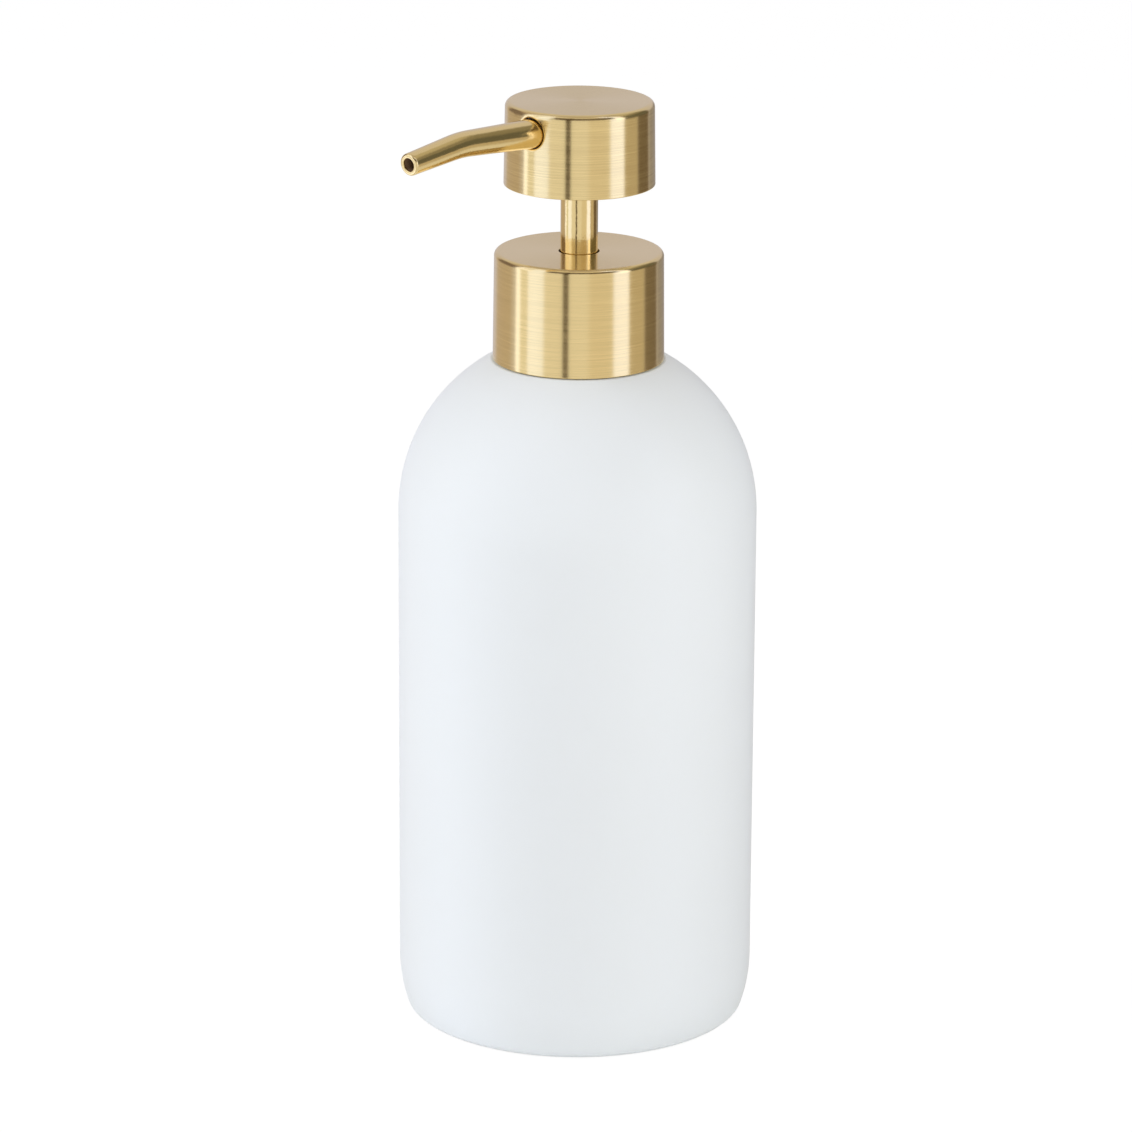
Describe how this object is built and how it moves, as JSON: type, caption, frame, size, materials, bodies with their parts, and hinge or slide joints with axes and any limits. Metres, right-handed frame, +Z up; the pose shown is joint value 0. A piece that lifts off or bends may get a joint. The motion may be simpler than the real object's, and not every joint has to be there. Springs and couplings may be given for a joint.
{
  "type": "soap pump dispenser",
  "caption": "Round counter-top bottle with a hemispherical shoulder, a screw collar, and a press-down pump head with a slim bent spout that dispenses liquid soap.",
  "frame": {"origin": "centre of the foot pad's underside, on the surface that the bottle stands on", "axes": "+Z up along the bottle and stem axis; the spout points along -Y"},
  "size_m": [0.075, 0.0895, 0.1968],
  "materials": {
    "ceramic_white": "matt glaze, slightly silky",
    "gold_brushed": "brushed champagne-gold plating, brushed around the axis",
    "gold_polished": "polished gold plating",
    "plastic_white": "moulded, satin",
    "plastic_natural": "natural translucent polypropylene",
    "rubber_grey": "moulded silicone",
    "foot_rubber": "matt foot pad",
    "steel_wire": "drawn stainless wire and ball"
  },
  "bodies": {
    "bottle": {"bottle": "ceramic_white", "base_pad": "foot_rubber", "neck_insert": "plastic_white"},
    "neck_washer": {"gasket": "rubber_grey"},
    "pump": {"pump_housing": "plastic_natural", "guide_cap": "plastic_white", "stem_wiper": "rubber_grey", "ball_cage": "plastic_white", "dip_tube": "plastic_natural", "return_spring": "steel_wire"},
    "closure": {"closure_insert": "plastic_white", "collar_shell": "gold_brushed"},
    "stem": {"stem": "plastic_white", "stem_plug": "plastic_white"},
    "head": {"stem_sleeve": "gold_polished", "button_core": "plastic_white", "button_shell": "gold_brushed", "nozzle_seal": "rubber_grey", "spout": "gold_polished"},
    "piston": {"piston": "plastic_natural"},
    "inlet_ball": {"inlet_ball": "steel_wire"}
  },
  "joints": [
    {"name": "pump_lift_off", "type": "slide", "parent": "bottle", "child": "neck_washer", "axis": [0, 0, 1], "range_m": [0, 0.155]},
    {"name": "collar_rise", "type": "slide", "parent": "neck_washer", "child": "pump", "axis": [0, 0, 1], "range_m": [0, 0.0053]},
    {"name": "collar_turn", "type": "hinge", "parent": "pump", "child": "closure", "pos_m": [0, 0, 0.15], "axis": [0, 0, 1], "range_deg": [0, 450]},
    {"name": "head_press", "type": "slide", "parent": "pump", "child": "stem", "axis": [0, 0, -1], "range_m": [0, 0.0138], "stiffness_N_per_m": 900, "springref_m": -0.008, "deforming": ["return_spring"]},
    {"name": "head_turn", "type": "hinge", "parent": "stem", "child": "head", "pos_m": [0, 0, 0.18], "axis": [0, 0, 1], "continuous": true},
    {"name": "piston_slide", "type": "slide", "parent": "pump", "child": "piston", "axis": [0, 0, -1], "range_m": [0, 0.01243]},
    {"name": "ball_lift", "type": "slide", "parent": "pump", "child": "inlet_ball", "axis": [0, 0, 1], "range_m": [0, 0.0011]}
  ],
  "couplings": [
    {"joint": "collar_rise", "follows": "collar_turn", "m_per_rad": 0.00067376},
    {"joint": "piston_slide", "follows": "head_press", "ratio": 0.9}
  ]
}
